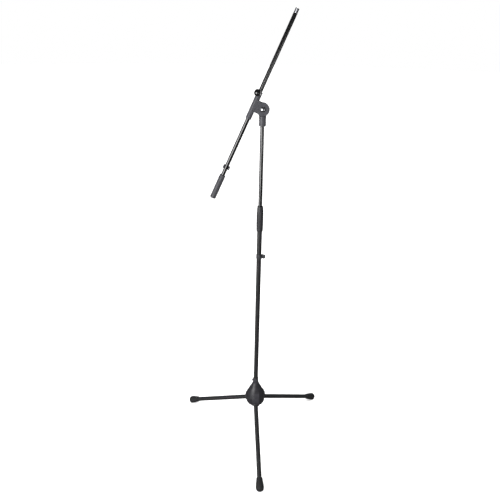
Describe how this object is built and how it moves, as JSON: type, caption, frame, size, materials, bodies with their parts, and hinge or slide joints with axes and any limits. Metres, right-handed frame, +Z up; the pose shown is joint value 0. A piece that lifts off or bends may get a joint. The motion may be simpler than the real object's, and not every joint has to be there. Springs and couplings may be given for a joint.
{
  "type": "boom microphone stand",
  "caption": "Microphone stand with folding tripod legs, a telescopic column with twist clutch and a tilting, sliding boom ending in a threaded tip.",
  "frame": {"origin": "centre of the bounding box on the floor, under the tripod", "axes": "+Z up along the column, front leg along -Y, boom leans in the XZ plane with its thread towards +X"},
  "size_m": [0.7234, 0.6316, 2.0251],
  "materials": {
    "matt_black_steel": "satin",
    "gloss_black_steel": "gloss",
    "hub_plastic": "satin",
    "black_nylon": "satin",
    "inner_nylon": "satin",
    "chrome": "polished",
    "zinc_steel": "satin",
    "cast_knuckle": "satin",
    "knob_plastic": "gloss",
    "foot_rubber": "matt",
    "grip_rubber": "matt"
  },
  "bodies": {
    "base": {"hub_body": "hub_plastic", "hub_collar": "hub_plastic", "collar_screw": "zinc_steel", "tube_plug": "zinc_steel", "hub_washer": "zinc_steel", "hub_bolt": "zinc_steel", "hinge_pins": "zinc_steel", "lower_tube": "matt_black_steel", "clutch_ferrule": "inner_nylon"},
    "leg_front": {"leg_knuckle_front": "cast_knuckle", "leg_tube_front": "matt_black_steel", "leg_foot_front": "foot_rubber"},
    "leg_right": {"leg_knuckle_right": "cast_knuckle", "leg_tube_right": "matt_black_steel", "leg_foot_right": "foot_rubber"},
    "leg_left": {"leg_knuckle_left": "cast_knuckle", "leg_tube_left": "matt_black_steel", "leg_foot_left": "foot_rubber"},
    "column_clip": {"column_clip": "black_nylon"},
    "clutch": {"clutch_grip": "black_nylon"},
    "collet": {"clutch_collet": "inner_nylon"},
    "mast": {"upper_tube": "gloss_black_steel", "guide_bush": "inner_nylon", "head_socket": "black_nylon"},
    "head": {"boom_clamp": "black_nylon", "friction_washer": "inner_nylon", "pivot_bolt": "chrome"},
    "tilt_lock": {"back_washer": "zinc_steel", "tilt_nut": "zinc_steel", "tilt_wing": "knob_plastic"},
    "boom_lock": {"lock_screw": "zinc_steel", "lock_knob": "knob_plastic"},
    "bush": {"boom_bush": "inner_nylon"},
    "boom": {"boom_tube": "gloss_black_steel", "thread_tip": "chrome", "boom_grip": "grip_rubber"},
    "boom_clip": {"boom_clip": "black_nylon"}
  },
  "joints": [
    {"name": "leg_front_fold", "type": "hinge", "parent": "base", "child": "leg_front", "pos_m": [0, 0.0685, 0.19446], "axis": [1, 0, 0], "range_deg": [0, 64]},
    {"name": "leg_right_fold", "type": "hinge", "parent": "base", "child": "leg_right", "pos_m": [0.02598, 0.1135, 0.19446], "axis": [-0.5, 0.866, 0], "range_deg": [0, 64]},
    {"name": "leg_left_fold", "type": "hinge", "parent": "base", "child": "leg_left", "pos_m": [-0.02598, 0.1135, 0.19446], "axis": [-0.5, -0.866, 0], "range_deg": [0, 64]},
    {"name": "column_clip_slide", "type": "slide", "parent": "base", "child": "column_clip", "axis": [0, 0, 1], "range_m": [-0.6, 0.105]},
    {"name": "clutch_twist", "type": "hinge", "parent": "base", "child": "clutch", "pos_m": [0, 0.0985, 1.2], "axis": [0, 0, 1], "range_deg": [0, 180]},
    {"name": "mast_swivel", "type": "hinge", "parent": "base", "child": "collet", "pos_m": [0, 0.0985, 1.22], "axis": [0, 0, 1], "continuous": true},
    {"name": "mast_slide", "type": "slide", "parent": "collet", "child": "mast", "axis": [0, 0, 1], "range_m": [-0.33, 0.27]},
    {"name": "boom_tilt", "type": "hinge", "parent": "mast", "child": "head", "pos_m": [0, 0.0985, 1.665], "axis": [0, 1, 0], "range_deg": [-24, 154]},
    {"name": "tilt_wing_turn", "type": "hinge", "parent": "head", "child": "tilt_lock", "pos_m": [0, 0.1165, 1.665], "axis": [0, 1, 0], "range_deg": [0, 360]},
    {"name": "lock_knob_turn", "type": "hinge", "parent": "head", "child": "boom_lock", "pos_m": [-0.01392, 0.0985, 1.72593], "axis": [-0.3274, -0.9336, 0.1458], "range_deg": [0, 360]},
    {"name": "boom_roll", "type": "hinge", "parent": "head", "child": "bush", "pos_m": [-0.03426, 0.0985, 1.68025], "axis": [0.4067, 0, 0.9135], "continuous": true},
    {"name": "boom_slide", "type": "slide", "parent": "bush", "child": "boom", "axis": [0.4067, 0, 0.9135], "range_m": [-0.3, 0.2]},
    {"name": "boom_clip_slide", "type": "slide", "parent": "boom", "child": "boom_clip", "axis": [-0.4067, 0, -0.9135], "range_m": [-0.15, 0.027]}
  ]
}
